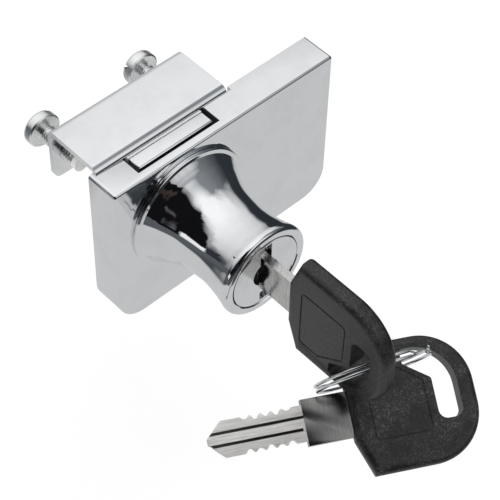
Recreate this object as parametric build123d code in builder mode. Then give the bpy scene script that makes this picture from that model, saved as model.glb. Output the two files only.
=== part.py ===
from build123d import *

import os
from math import asin, cos, radians, sin, sqrt

# Clamp-on cabinet lock for a double glass door, in millimetres.
# X runs along the plate, Y runs into the cabinet and Z is up.
# The origin is where the glass door's top front edge sits in the clamp, midway along the clamp.
# It is drawn unlocked, with one key in the plug and the second key on the same split ring.

# Case
PLATE_WIDTH = 60.0
PLATE_HEIGHT = 41.0
CASE_DEPTH = 8.1
CASE_WALL = 1.8
CLAMP_FROM_LEFT = 18.75
LOWER_CORNER_R = 6.5
UPPER_CORNER_R = 0.8
FRONT_EDGE_R = 0.5
BACK_LIP = 1.2

# Clamp bracket, bent from one sheet
SHEET = 1.2
CLAMP_WIDTH = 34.9
BEND_R = 0.8
CLAMP_GAP = 12.3
REAR_LEG_DROP = 13.0
LEG_CORNER_R = 2.0
LAP_INTO_BACK = 5.0
NOTCH_SIDE_GAP = 0.1
NOTCH_FAR_GAP = 1.1

# Pads between the back plate and the two glass doors
PAD_THICKNESS = 1.0
PAD_CORNER_R = 1.5
PAD_INSET = 2.0
CLAMP_PAD_BELOW = 8.0
CLAMP_PAD_RIGHT = 14.8
DOOR_PAD_LEFT = 23.5
DOOR_PAD_BELOW = 10.0

# Bolt
BOLT_WIDTH = 19.75
BOLT_THICKNESS = 3.5
BOLT_TONGUE = 8.5
BOLT_PAST_PIN = 3.56
BOLT_TAIL_THICKNESS = 1.95
BOLT_SLIDE_GAP = 0.05
BOLT_SIDE_GAP = 0.1
BOLT_CHAMFER = 0.3
SLOT_END_GAP = 1.0
SLOT_FRONT_GAP = 0.9
GUIDE_THICKNESS = 0.5
GUIDE_SHORT = 0.5
GUIDE_TOP_GAP = 0.1
RIB_THICKNESS = 1.2
RIB_LENGTH = 10.0
STOP_WIDTH = 9.0
STOP_HEIGHT = 1.4

# Knob
KNOB_Z = -16.4
KNOB_PAST_BLADE = 4.0
KNOB_DRAWN_LENGTH = 24.0
KNOB_BASE_R = 14.8
KNOB_BASE_RING = 1.1
KNOB_FOOT_R = 13.7
KNOB_WAIST = ((4.0, 11.9), (8.0, 10.3), (13.5, 9.6), (17.0, 9.75), (20.5, 10.4))
KNOB_MOUTH_R = 10.95
KNOB_RIM_ROUND = 1.4
KNOB_RIM_R = 10.4
KNOB_TURN = 90.0

# Cylinder body and plug
BODY_R = 8.3
BODY_FLANGE_R = 9.8
BODY_FLANGE = 1.5
PLUG_R = 6.0
PLUG_FACE_R = 8.7
PLUG_FACE = 2.4
PLUG_TAIL_R = 3.9
PLUG_RUNNING_GAP = 0.05
FACE_GAP = 0.2
PLUG_SUNK = 0.1
FACE_SLOT_WIDTH = 3.0
FACE_SLOT_LENGTH = 15.8
FACE_DIMPLE_R = 3.3
FACE_RECESS = 1.3
GROOVE_WIDTH = 5.5
GROOVE_R = 6.8
SEAT_GAP = 0.05
FIT_GAP = 0.1

# Drive cam
CAM_R = 6.9
CAM_THICKNESS = 1.9
CAM_SQUARE = 4.0
CAM_BOSS = 1.0
CRANK_R = 5.0
CRANK_PIN_R = 1.5
CRANK_START = 225.0
CAM_SCREW_R = 1.25
CAM_SCREW_LENGTH = 4.5
CAM_SCREW_HEAD_R = 3.0
THREAD_GAP = 0.03

# Wafers
WAFER_COUNT = 5
WAFER_PITCH = 2.2
WAFER_THICKNESS = 0.9
WAFER_WIDTH = 5.1
WAFER_END_GAP = 0.1
WAFER_TRAVEL = 0.6
WAFER_SIDE_GAP = 0.05
WAFER_WINDOW_GAP = 0.15
FIRST_WAFER = 3.0
LUG_WIDTH = 1.5
LUG_HEIGHT = 1.0
LUG_BASE = -0.2
POCKET_R = 0.9
POCKET_OFFSET = 3.35
SPRING_R = 0.58
SPRING_WIRE_R = 0.12
SPRING_PITCH = 0.7
SPRING_TURNS = 4

# Key
BLADE_LENGTH = 20.0
BLADE_WIDTH = 7.4
BLADE_THICKNESS = 1.9
TIP_LENGTH = 3.2
TIP_FLAT = 1.2
SHANK_LENGTH = 9.5
SHANK_WIDTH = 9.6
TANG_LENGTH = 6.0
TANG_WIDTH = 7.0
UPPER_CUTS = (0.5, 0.9, 0.7, 0.9, 0.6)
LOWER_CUTS = (0.8, 0.5, 0.9, 0.6, 0.8)
CUT_FLAT = 0.7
CUT_FLANK = 0.65
MILLING_WIDTH = 0.6
MILLING_DEPTH = 0.4
MILLING_OFFSET = 1.25
KEYWAY_GAP = 0.1
HEAD_LENGTH = 26.8
HEAD_WIDTH = 26.7
HEAD_THICKNESS = 4.2
HEAD_NECK = 11.4
HEAD_SHOULDER = 2.7
HEAD_SHOULDER_R = 1.2
HEAD_CORNER_R = 11.0
HEAD_EDGE_R = 1.5
HEAD_RIM = 3.6
HEAD_SLOT_TOP = 10.95
HEAD_SLOT_LEFT = 12.6
HEAD_SLOT_CHAMFER_FROM = 7.9
HEAD_SLOT_INNER = 18.0
HEAD_SLOT_CHAMFER_TO = 4.1
HEAD_SLOT_BOTTOM = -4.7
HEAD_SLOT_ARC_R = 8.6
HEAD_SLOT_CORNER_R = 0.8
HEAD_SLOT_END_R = 1.9
PANEL_OUTLINE = ((4.0, -6.7), (16.2, -6.7), (16.2, 4.0), (9.4, 9.0), (4.0, 9.0))
PANEL_CORNER_R = 1.2
PANEL_GROOVE = 0.3
PANEL_GROOVE_DEPTH = 0.2

# Split ring
RING_OUTER_R = 12.5
RING_WIRE_R = 0.35
RING_TURN_GAP = 0.42
RING_JOG = 30.0
RING_FROM_NECK = (6.04, -17.49, -12.82)
RING_NORMAL = (0.3148, 0.8264, 0.4668)
RING_JOG_TOWARDS = (0.4761, -0.5544, 0.6826)

# Second key, lying askew on the ring
KEY_2_FROM_NECK = (-1.21, -18.55, -20.54)
KEY_2_ALONG = (0.8752, -0.4837, -0.0005)
KEY_2_FACE = (-0.2204, -0.3996, 0.8899)

# Screws
CLAMP_SCREW_FROM_SIDE = 4.0
CLAMP_SCREW_Z = -7.5
CLAMP_THREAD_R = 2.0
CLAMP_HOLE_R = 2.05
CLAMP_HEAD_R = 4.0
CLAMP_HEAD_HEIGHT = 2.6
CLAMP_HEAD_EDGE_R = 0.3
CLAMP_SHANK = 10.8
CLAMP_PIP_R = 1.0
CLAMP_PIP = 0.8
TIP_PAD_R = 1.95
TIP_PAD_LENGTH = 1.3
TIP_PAD_Y = 7.9
SCREW_SLOT_WIDTH = 1.0
SCREW_SLOT_DEPTH = 1.2
BACK_SCREW_R = 1.2
BACK_SCREW_HEAD_R = 2.3
BACK_SCREW_LENGTH = 5.4
BACK_SCREW_PAIR = 24.0
BACK_SCREW_UP = 4.5
BACK_SCREW_FROM_RIGHT = 6.75
BACK_SCREW_FROM_BOLT = 9.325
BACK_SCREW_DOWN = 6.0
BACK_BOSS_R = 2.4
KNOB_SCREW_R = 0.95
KNOB_SCREW_HEAD_R = 1.9
KNOB_SCREW_LENGTH = 4.4
KNOB_SCREW_CIRCLE = 11.3
KNOB_SCREW_ANGLES = (90.0, 225.0, 315.0)
SMALL_SLOT_WIDTH = 0.5
SMALL_SLOT_DEPTH = 0.45

# Knob, as long as the blade inside it needs
KNOB_LENGTH = BLADE_LENGTH + KNOB_PAST_BLADE
KNOB_MOUTH_AT = KNOB_LENGTH - KNOB_RIM_ROUND

# Stations along Y, from the glass forwards
BACK_Y = -PAD_THICKNESS
PLATE_FRONT_Y = BACK_Y - SHEET
GUIDE_FRONT_Y = PLATE_FRONT_Y - GUIDE_THICKNESS
BOLT_BACK_Y = GUIDE_FRONT_Y - BOLT_SLIDE_GAP
BOLT_FRONT_Y = BOLT_BACK_Y - BOLT_THICKNESS
FACE_Y = BACK_Y - CASE_DEPTH
WALL_BACK_Y = FACE_Y + CASE_WALL
CAM_FRONT_Y = WALL_BACK_Y + SEAT_GAP
CAM_BACK_Y = CAM_FRONT_Y + CAM_THICKNESS
CRANK_END_Y = GUIDE_FRONT_Y - 3 * SEAT_GAP
PLUG_FACE_Y = FACE_Y - KNOB_LENGTH + PLUG_SUNK
PLUG_NECK_Y = PLUG_FACE_Y + PLUG_FACE
RECESS_Y = PLUG_FACE_Y + FACE_RECESS
KEY_SHOULDER_Y = RECESS_Y - SEAT_GAP
HEAD_Y = KEY_SHOULDER_Y - SHANK_LENGTH
LEG_INNER_Y = CLAMP_GAP
LEG_OUTER_Y = LEG_INNER_Y + SHEET

# Stations along X and Z
CASE_LEFT = -CLAMP_FROM_LEFT
CASE_RIGHT = CASE_LEFT + PLATE_WIDTH
CASE_MID_X = (CASE_LEFT + CASE_RIGHT) / 2
CASE_MID_Z = -PLATE_HEIGHT / 2
CLAMP_SCREW_X = CLAMP_WIDTH / 2 - CLAMP_SCREW_FROM_SIDE

# Bolt, long enough to hold the slot that the crank pin runs in
PIN_START_Z = KNOB_Z + CRANK_R * sin(radians(CRANK_START))
BOLT_LENGTH = BOLT_PAST_PIN - PIN_START_Z
GUIDE_LENGTH = BOLT_LENGTH - GUIDE_SHORT

# Motion
CRANK_ARC = radians(KNOB_TURN)
BOLT_THROW = CRANK_R * (sin(radians(CRANK_START - 180)) * 2)
STEEPEST = asin(sqrt(1 - (BOLT_THROW / CRANK_R / CRANK_ARC) ** 2))
CRANK_WANDER = CRANK_R * abs(sin(STEEPEST) - BOLT_THROW / CRANK_R / CRANK_ARC * STEEPEST)

os.makedirs("parts", exist_ok=True)


def facing(y, x=0.0, z=0.0):
    """Plane square to the door at y, seen from the front: X right, Z up, normal to the viewer."""
    return Plane(origin=(x, y, z), x_dir=(1, 0, 0), z_dir=(0, -1, 0))


def axial(y, x=0.0, z=KNOB_Z, forwards=True):
    """Plane holding an axis along Y, for turned pieces: local X along the axis from y."""
    way = -1 if forwards else 1
    return Plane(origin=(x, y, z), x_dir=(0, way, 0), z_dir=(1, 0, 0))


def axis_along_y(x, z):
    return Axis(origin=(x, 0, z), direction=(0, -1, 0))


def save(builder, name):
    builder.part.label = name
    export_step(builder.part, f"parts/{name}.step")


def plate_outline(inset):
    """The plate's outline, drawn in by inset, inside the sketch that calls it."""
    with Locations((CASE_MID_X, CASE_MID_Z)):
        Rectangle(PLATE_WIDTH - 2 * inset, PLATE_HEIGHT - 2 * inset)


def back_screw_spots():
    """Centres of the screws through the back plate, in X and Z."""
    low_z = -PLATE_HEIGHT + BACK_SCREW_UP
    return [
        (-BACK_SCREW_PAIR / 2, low_z),
        (BACK_SCREW_PAIR / 2, low_z),
        (CASE_RIGHT - BACK_SCREW_FROM_RIGHT, low_z),
        (BOLT_WIDTH / 2 + BACK_SCREW_FROM_BOLT, -BACK_SCREW_DOWN),
    ]


def knob_screw_spots():
    """Centres of the screws that hold the knob, on a circle round its axis."""
    return [
        (
            KNOB_SCREW_CIRCLE * cos(radians(angle)),
            KNOB_Z + KNOB_SCREW_CIRCLE * sin(radians(angle)),
        )
        for angle in KNOB_SCREW_ANGLES
    ]


def make_case():
    """Die-cast case: front plate, four walls, bolt slot, guide ribs and screw bosses."""
    notch_left = -CLAMP_WIDTH / 2 - NOTCH_SIDE_GAP
    notch_right = CLAMP_WIDTH / 2 + NOTCH_FAR_GAP
    slot_front = BOLT_FRONT_Y - SLOT_FRONT_GAP
    rib_inner = BOLT_WIDTH / 2 + BOLT_SIDE_GAP
    rib_z = -CASE_WALL - RIB_LENGTH / 2
    inside_depth = CASE_DEPTH - CASE_WALL
    fitting_depth = WALL_BACK_Y - PLATE_FRONT_Y
    with BuildPart() as case:
        with BuildSketch(facing(BACK_Y)) as outline:
            plate_outline(0)
            fillet(outline.vertices().group_by(Axis.Y)[0], LOWER_CORNER_R)
            fillet(outline.vertices().group_by(Axis.Y)[-1], UPPER_CORNER_R)
        extrude(amount=CASE_DEPTH)
        fillet(case.edges().group_by(Axis.Y)[0], FRONT_EDGE_R)
        with BuildSketch(facing(BACK_Y)) as hollow:
            plate_outline(CASE_WALL)
            fillet(hollow.vertices().group_by(Axis.Y)[0], LOWER_CORNER_R - CASE_WALL)
        extrude(amount=inside_depth, mode=Mode.SUBTRACT)
        with BuildSketch(facing(BACK_Y)) as rebate:
            plate_outline(BACK_LIP)
            fillet(rebate.vertices().group_by(Axis.Y)[0], LOWER_CORNER_R - BACK_LIP)
        extrude(amount=SHEET, mode=Mode.SUBTRACT)
        # Ribs beside the bolt, the stop under it and the bosses for the back screws
        with BuildSketch(facing(WALL_BACK_Y)):
            for side in (-1, 1):
                with Locations((side * (rib_inner + RIB_THICKNESS / 2), rib_z)):
                    Rectangle(RIB_THICKNESS, RIB_LENGTH)
            with Locations((0, -BOLT_LENGTH - SEAT_GAP - STOP_HEIGHT / 2)):
                Rectangle(STOP_WIDTH, STOP_HEIGHT)
            with Locations(*back_screw_spots()):
                Circle(BACK_BOSS_R)
        extrude(amount=fitting_depth + SEAT_GAP)
        # Slot for the bolt and notch for the clamp's bend
        with BuildSketch(Plane.XY.offset(-CASE_WALL)):
            with Locations((0, (slot_front + BACK_Y) / 2)):
                Rectangle(BOLT_WIDTH + 2 * SLOT_END_GAP, BACK_Y - slot_front)
            with Locations(((notch_left + notch_right) / 2, (PLATE_FRONT_Y + BACK_Y) / 2)):
                Rectangle(notch_right - notch_left, SHEET)
        extrude(amount=CASE_WALL, mode=Mode.SUBTRACT)
        # Holes for the plug's tail, the back screws and the knob screws
        with BuildSketch(facing(WALL_BACK_Y)):
            with Locations((0, KNOB_Z)):
                Circle(PLUG_TAIL_R + FIT_GAP)
        extrude(amount=CASE_WALL, mode=Mode.SUBTRACT)
        with BuildSketch(facing(PLATE_FRONT_Y)):
            with Locations(*back_screw_spots()):
                Circle(BACK_SCREW_R + THREAD_GAP)
        extrude(amount=BACK_SCREW_LENGTH - SHEET + FIT_GAP, mode=Mode.SUBTRACT)
        with Locations(*[sunk_place(WALL_BACK_Y, *spot) for spot in knob_screw_spots()]):
            CounterSinkHole(
                KNOB_SCREW_R + THREAD_GAP,
                KNOB_SCREW_HEAD_R + THREAD_GAP,
                depth=CASE_WALL,
                counter_sink_angle=90,
            )
    save(case, "case")


def sunk_place(y, x, z):
    """Place of a countersunk hole whose mouth faces the glass at y."""
    return Location(Plane(origin=(x, y, z), x_dir=(1, 0, 0), z_dir=(0, 1, 0)))


def make_knob():
    """Waisted handle barrel round the cylinder, turned as one ring with three blind screw holes."""
    mouth_r = PLUG_FACE_R + FACE_GAP
    mouth_at = KNOB_LENGTH - PLUG_SUNK - PLUG_FACE - FIT_GAP
    bore_r = BODY_R + SEAT_GAP
    pocket_r = BODY_FLANGE_R + FIT_GAP
    pocket = BODY_FLANGE + SEAT_GAP
    stretch = KNOB_LENGTH / KNOB_DRAWN_LENGTH
    waist = [(along * stretch, radius) for along, radius in KNOB_WAIST]
    with BuildPart() as knob:
        with BuildSketch(axial(FACE_Y)):
            with BuildLine():
                foot = Polyline((0, pocket_r), (0, KNOB_BASE_R), (KNOB_BASE_RING, KNOB_BASE_R))
                step = Line(foot @ 1, (KNOB_BASE_RING, KNOB_FOOT_R))
                neck = Spline(step @ 1, *waist, (KNOB_MOUTH_AT, KNOB_MOUTH_R))
                rim = RadiusArc(neck @ 1, (KNOB_LENGTH, KNOB_RIM_R), KNOB_RIM_ROUND)
                Polyline(
                    rim @ 1,
                    (KNOB_LENGTH, mouth_r),
                    (mouth_at, mouth_r),
                    (mouth_at, bore_r),
                    (pocket, bore_r),
                    (pocket, pocket_r),
                    foot @ 0,
                )
            make_face()
        revolve(axis=axis_along_y(0, KNOB_Z))
        with BuildSketch(facing(FACE_Y)):
            with Locations(*knob_screw_spots()):
                Circle(KNOB_SCREW_R + THREAD_GAP)
        extrude(amount=KNOB_SCREW_LENGTH - CASE_WALL + FIT_GAP, mode=Mode.SUBTRACT)
    save(knob, "knob")


def make_cylinder_body():
    """Tube that the plug turns in, flanged at the case and broached for the wafers."""
    front = KNOB_LENGTH - PLUG_SUNK - PLUG_FACE - FIT_GAP
    bore_r = PLUG_R + PLUG_RUNNING_GAP
    with BuildPart() as body:
        with BuildSketch(axial(FACE_Y)):
            with BuildLine():
                Polyline(
                    (0, bore_r),
                    (0, BODY_FLANGE_R),
                    (BODY_FLANGE, BODY_FLANGE_R),
                    (BODY_FLANGE, BODY_R),
                    (front, BODY_R),
                    (front, bore_r),
                    close=True,
                )
            make_face()
        revolve(axis=axis_along_y(0, KNOB_Z))
        with BuildSketch(facing(FACE_Y)):
            with Locations((0, KNOB_Z)):
                Rectangle(GROOVE_WIDTH, 2 * GROOVE_R)
                Rectangle(2 * GROOVE_R, GROOVE_WIDTH)
        extrude(amount=front, mode=Mode.SUBTRACT)
    save(body, "cylinder_body")


def wafer_stations():
    """Y of each wafer's middle, counted in from the key's shoulder, with the way it springs."""
    return [
        (KEY_SHOULDER_Y + FIRST_WAFER + WAFER_PITCH * index, 1 if index % 2 == 0 else -1)
        for index in range(WAFER_COUNT)
    ]


def spring_room():
    """Height of the pocket under a wafer's lug, from its floor to the lug."""
    return SPRING_PITCH * SPRING_TURNS + 2 * SPRING_WIRE_R


def make_plug():
    """Turning plug with its face disc, keyway, wafer slots, spring pockets and squared tail."""
    floor = LUG_BASE - SEAT_GAP - spring_room() - SEAT_GAP
    roof = LUG_BASE + LUG_HEIGHT + WAFER_TRAVEL + FIT_GAP
    keyway_end = KEY_SHOULDER_Y + BLADE_LENGTH + FIT_GAP
    shank_end = FACE_Y - SEAT_GAP
    screw_hole = CAM_THICKNESS - CAM_BOSS + CAM_SCREW_LENGTH + FIT_GAP
    with BuildPart() as plug:
        with BuildSketch(facing(PLUG_NECK_Y)):
            with Locations((0, KNOB_Z)):
                Circle(PLUG_FACE_R)
        extrude(amount=PLUG_FACE)
        with BuildSketch(facing(shank_end)):
            with Locations((0, KNOB_Z)):
                Circle(PLUG_R)
        extrude(amount=shank_end - PLUG_NECK_Y)
        with BuildSketch(facing(CAM_FRONT_Y)):
            with Locations((0, KNOB_Z)):
                Circle(PLUG_TAIL_R)
        extrude(amount=CAM_FRONT_Y - shank_end)
        with BuildSketch(facing(CAM_FRONT_Y + CAM_BOSS - SEAT_GAP)):
            with Locations((0, KNOB_Z)):
                Rectangle(CAM_SQUARE, CAM_SQUARE)
        extrude(amount=CAM_BOSS - SEAT_GAP)
        # Face recess: a long slot with a round dimple, then the keyway behind it
        with BuildSketch(facing(RECESS_Y)):
            with Locations((0, KNOB_Z)):
                Rectangle(FACE_SLOT_WIDTH, FACE_SLOT_LENGTH)
                Circle(FACE_DIMPLE_R)
        extrude(amount=FACE_RECESS, mode=Mode.SUBTRACT)
        with BuildSketch(facing(keyway_end)):
            with Locations((0, KNOB_Z)):
                Rectangle(BLADE_THICKNESS + 2 * KEYWAY_GAP, BLADE_WIDTH + 2 * KEYWAY_GAP)
        extrude(amount=keyway_end - RECESS_Y, mode=Mode.SUBTRACT)
        # One slot and one round spring pocket for each wafer
        for y, way in wafer_stations():
            slot_back = y + WAFER_THICKNESS / 2 + WAFER_SIDE_GAP
            with BuildSketch(facing(slot_back)):
                with Locations((0, KNOB_Z)):
                    Rectangle(WAFER_WIDTH + 2 * WAFER_SIDE_GAP, 2 * BODY_R)
            extrude(amount=WAFER_THICKNESS + 2 * WAFER_SIDE_GAP, mode=Mode.SUBTRACT)
            low = KNOB_Z + min(way * floor, way * roof)
            with BuildSketch(Plane.XY.offset(low)):
                with Locations((way * POCKET_OFFSET, y)):
                    Circle(POCKET_R)
            extrude(amount=roof - floor, mode=Mode.SUBTRACT)
        with BuildSketch(facing(CAM_BACK_Y)):
            with Locations((0, KNOB_Z)):
                Circle(CAM_SCREW_R + THREAD_GAP)
        extrude(amount=screw_hole, mode=Mode.SUBTRACT)
    save(plug, "plug")


def make_clamp_bracket():
    """Back plate with the strip that bends over the glass and down behind it."""
    inner_y = CLAMP_GAP
    mid_y = (BACK_Y + PLATE_FRONT_Y) / 2
    strip_top = SHEET / 2
    with BuildPart() as bracket:
        with BuildSketch(facing(BACK_Y)) as plate:
            plate_outline(BACK_LIP + FIT_GAP)
            fillet(plate.vertices().group_by(Axis.Y)[0], LOWER_CORNER_R - BACK_LIP - FIT_GAP)
        extrude(amount=SHEET)
        with BuildLine(Plane.YZ) as centre:
            FilletPolyline(
                (mid_y, -LAP_INTO_BACK),
                (mid_y, strip_top),
                (inner_y + SHEET / 2, strip_top),
                (inner_y + SHEET / 2, -REAR_LEG_DROP),
                radius=BEND_R + SHEET / 2,
            )
        with BuildSketch(Plane.XY.offset(-LAP_INTO_BACK)):
            with Locations((0, mid_y)):
                Rectangle(CLAMP_WIDTH, SHEET)
        sweep(path=centre.line)
        leg_corners = [
            edge
            for edge in bracket.edges().filter_by(Axis.Y)
            if edge.center().Y > inner_y and abs(edge.center().Z + REAR_LEG_DROP) < FIT_GAP
        ]
        fillet(leg_corners, LEG_CORNER_R)
        with BuildSketch(facing(LEG_OUTER_Y)):
            with Locations(*clamp_screw_spots()):
                Circle(CLAMP_HOLE_R)
        extrude(amount=SHEET, mode=Mode.SUBTRACT)
        with Locations(*[sunk_place(BACK_Y, *spot) for spot in back_screw_spots()]):
            CounterSinkHole(
                BACK_SCREW_R + THREAD_GAP,
                BACK_SCREW_HEAD_R + THREAD_GAP,
                depth=SHEET,
                counter_sink_angle=90,
            )
    save(bracket, "clamp_bracket")


def clamp_screw_spots():
    """Centres of the two clamp screws, in X and Z."""
    return [(side * CLAMP_SCREW_X, CLAMP_SCREW_Z) for side in (-1, 1)]


def make_pads():
    """Soft pads on the back plate, one against each glass door."""
    clamp_left = CASE_LEFT + PAD_INSET
    door_right = CASE_RIGHT - PAD_INSET
    pads = (
        ("glass_pad", clamp_left, CLAMP_PAD_RIGHT, CLAMP_PAD_BELOW),
        ("door_pad", DOOR_PAD_LEFT, door_right, DOOR_PAD_BELOW),
    )
    for name, left, right, below in pads:
        height = PLATE_HEIGHT - PAD_INSET - below
        with BuildPart() as pad:
            with BuildSketch(facing(0)):
                with Locations(((left + right) / 2, -PAD_INSET - height / 2)):
                    RectangleRounded(right - left, height, PAD_CORNER_R)
            extrude(amount=PAD_THICKNESS)
        save(pad, name)


def make_bolt():
    """Flat bolt that rises out of the case's top, with a cross slot for the crank pin."""
    pin_room = CRANK_PIN_R + SEAT_GAP
    pin_x = CRANK_R * cos(radians(CRANK_START))
    pin_z = PIN_START_Z
    slot_left = -CRANK_R - pin_room
    slot_right = pin_x + pin_room + FIT_GAP
    slot_height = 2 * (pin_room + CRANK_WANDER)
    with BuildPart() as bolt:
        with BuildSketch(facing(BOLT_BACK_Y)):
            with Locations((0, -BOLT_TONGUE / 2)):
                Rectangle(BOLT_WIDTH, BOLT_TONGUE)
        extrude(amount=BOLT_THICKNESS)
        chamfer(bolt.edges().group_by(Axis.Z)[-1], BOLT_CHAMFER)
        with BuildSketch(facing(BOLT_BACK_Y)):
            with Locations((0, -(BOLT_TONGUE + BOLT_LENGTH) / 2)):
                Rectangle(BOLT_WIDTH, BOLT_LENGTH - BOLT_TONGUE)
        extrude(amount=BOLT_TAIL_THICKNESS)
        with BuildSketch(facing(BOLT_BACK_Y)):
            with Locations(((slot_left + slot_right) / 2, pin_z)):
                Rectangle(slot_right - slot_left, slot_height)
        extrude(amount=BOLT_TAIL_THICKNESS, mode=Mode.SUBTRACT)
    save(bolt, "bolt")


def make_bolt_guide():
    """Thin slip sheet between the bolt and the back plate."""
    with BuildPart() as guide:
        with BuildSketch(facing(PLATE_FRONT_Y)):
            with Locations((0, -GUIDE_TOP_GAP - GUIDE_LENGTH / 2)):
                Rectangle(BOLT_WIDTH - FIT_GAP, GUIDE_LENGTH)
        extrude(amount=GUIDE_THICKNESS)
    save(guide, "bolt_guide")


def make_drive_cam():
    """Round crank on the plug's squared tail, whose pin lifts the bolt."""
    pin_spot = (
        CRANK_R * cos(radians(CRANK_START)),
        PIN_START_Z,
    )
    with BuildPart() as cam:
        with BuildSketch(facing(CAM_BACK_Y)):
            with Locations((0, KNOB_Z)):
                Circle(CAM_R)
        extrude(amount=CAM_THICKNESS)
        with BuildSketch(facing(CRANK_END_Y)):
            with Locations(pin_spot):
                Circle(CRANK_PIN_R)
        extrude(amount=CRANK_END_Y - CAM_BACK_Y)
        with BuildSketch(facing(CAM_BACK_Y)):
            with Locations((0, KNOB_Z)):
                Rectangle(CAM_SQUARE + FIT_GAP, CAM_SQUARE + FIT_GAP)
        extrude(amount=CAM_THICKNESS, mode=Mode.SUBTRACT)
        with BuildSketch(facing(CAM_BACK_Y)):
            with Locations((0, KNOB_Z)):
                Circle(CAM_SCREW_HEAD_R + FIT_GAP)
        extrude(amount=CAM_THICKNESS - CAM_BOSS, mode=Mode.SUBTRACT)
    save(cam, "drive_cam")


def make_cam_screw():
    """Pan head screw that keeps the cam on the plug."""
    head = CAM_THICKNESS - CAM_BOSS - SEAT_GAP
    head_front = CAM_FRONT_Y + CAM_BOSS
    with BuildPart() as screw:
        with BuildSketch(facing(head_front + head)):
            with Locations((0, KNOB_Z)):
                Circle(CAM_SCREW_HEAD_R)
        extrude(amount=head)
        with BuildSketch(facing(head_front)):
            with Locations((0, KNOB_Z)):
                Circle(CAM_SCREW_R)
        extrude(amount=CAM_SCREW_LENGTH)
        with BuildSketch(facing(head_front + head)):
            with Locations((0, KNOB_Z)):
                Rectangle(SMALL_SLOT_WIDTH, 2 * CAM_SCREW_HEAD_R)
        extrude(amount=SMALL_SLOT_DEPTH, mode=Mode.SUBTRACT)
    save(screw, "cam_screw")


def make_wafers():
    """Sprung wafers of the plug, each with a window for the blade and a lug for its spring."""
    window_x = BLADE_THICKNESS / 2 + WAFER_WINDOW_GAP
    window_z = BLADE_WIDTH / 2 + WAFER_TRAVEL + WAFER_WINDOW_GAP
    end_r = PLUG_R - WAFER_END_GAP
    lug_left = WAFER_WIDTH / 2
    lug_middle = LUG_BASE + LUG_HEIGHT / 2
    for index, (y, way) in enumerate(wafer_stations()):
        with BuildPart() as wafer:
            with BuildSketch(facing(y + WAFER_THICKNESS / 2, 0, KNOB_Z)):
                Circle(end_r)
                Rectangle(WAFER_WIDTH, 2 * PLUG_R, mode=Mode.INTERSECT)
                with Locations((way * (lug_left + LUG_WIDTH / 2), way * lug_middle)):
                    Rectangle(LUG_WIDTH, LUG_HEIGHT)
                Rectangle(2 * window_x, 2 * window_z, mode=Mode.SUBTRACT)
            extrude(amount=WAFER_THICKNESS)
        save(wafer, f"wafer_{index + 1}")


def make_wafer_springs():
    """Small coil spring under each wafer's lug, standing along Z in its round pocket."""
    for index, (y, way) in enumerate(wafer_stations()):
        top = way * (LUG_BASE - SEAT_GAP)
        low = min(top, top - way * spring_room())
        foot = (way * POCKET_OFFSET, y, KNOB_Z + low + SPRING_WIRE_R)
        coil_height = SPRING_PITCH * SPRING_TURNS
        with BuildPart() as spring:
            with BuildLine(Plane(origin=foot)) as coil:
                Helix(SPRING_PITCH, coil_height, SPRING_R)
            with BuildSketch(Plane(origin=coil.line @ 0, z_dir=coil.line % 0)):
                Circle(SPRING_WIRE_R)
            sweep(path=coil.line, is_frenet=True)
        save(spring, f"wafer_spring_{index + 1}")
    print("wafer spring gap between turns", round(SPRING_PITCH - 2 * SPRING_WIRE_R, 3))


def key_frames():
    """Planes of the two keys: origin at the bow's neck, X towards the bow, normal off its face."""
    first = Plane(origin=(0, HEAD_Y, KNOB_Z), x_dir=(0, -1, 0), z_dir=(1, 0, 0))
    neck_2 = Vector(*KEY_2_FROM_NECK) + first.origin
    second = Plane(origin=neck_2, x_dir=KEY_2_ALONG, z_dir=KEY_2_FACE)
    return (("key_1", first), ("key_2", second))


def blade_edge(cuts, side):
    """Points along one edge of the blade, from its shoulder to the tip's bevel."""
    half = BLADE_WIDTH / 2
    points = []
    for index, depth in enumerate(cuts):
        middle = -SHANK_LENGTH - FIRST_WAFER - WAFER_PITCH * index
        points.append((middle + CUT_FLAT / 2 + CUT_FLANK, side * half))
        points.append((middle + CUT_FLAT / 2, side * (half - depth)))
        points.append((middle - CUT_FLAT / 2, side * (half - depth)))
        points.append((middle - CUT_FLAT / 2 - CUT_FLANK, side * half))
    return points


def make_key_blades():
    """Flat steel blade of each key: tang inside the bow, shank, shoulder and double-sided cuts."""
    half = BLADE_WIDTH / 2
    tip = -SHANK_LENGTH - BLADE_LENGTH
    milled = BLADE_LENGTH - TIP_LENGTH
    for name, frame in key_frames():
        with BuildPart() as blade:
            with BuildSketch(frame.offset(-BLADE_THICKNESS / 2)):
                with BuildLine():
                    Polyline(
                        (-SHANK_LENGTH, half),
                        *blade_edge(UPPER_CUTS, 1),
                        (tip + TIP_LENGTH, half),
                        (tip, TIP_FLAT / 2),
                        (tip, -TIP_FLAT / 2),
                        (tip + TIP_LENGTH, -half),
                        *reversed(blade_edge(LOWER_CUTS, -1)),
                        (-SHANK_LENGTH, -half),
                        close=True,
                    )
                make_face()
                with Locations((-SHANK_LENGTH / 2, 0)):
                    Rectangle(SHANK_LENGTH, SHANK_WIDTH)
                with Locations((TANG_LENGTH / 2, 0)):
                    Rectangle(TANG_LENGTH, TANG_WIDTH)
            extrude(amount=BLADE_THICKNESS)
            for side in (-1, 1):
                with BuildSketch(frame.offset(side * BLADE_THICKNESS / 2)):
                    with Locations((-SHANK_LENGTH - milled / 2, side * MILLING_OFFSET)):
                        Rectangle(milled, MILLING_WIDTH)
                extrude(amount=-side * MILLING_DEPTH, mode=Mode.SUBTRACT)
        save(blade, f"{name}_blade")


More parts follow.
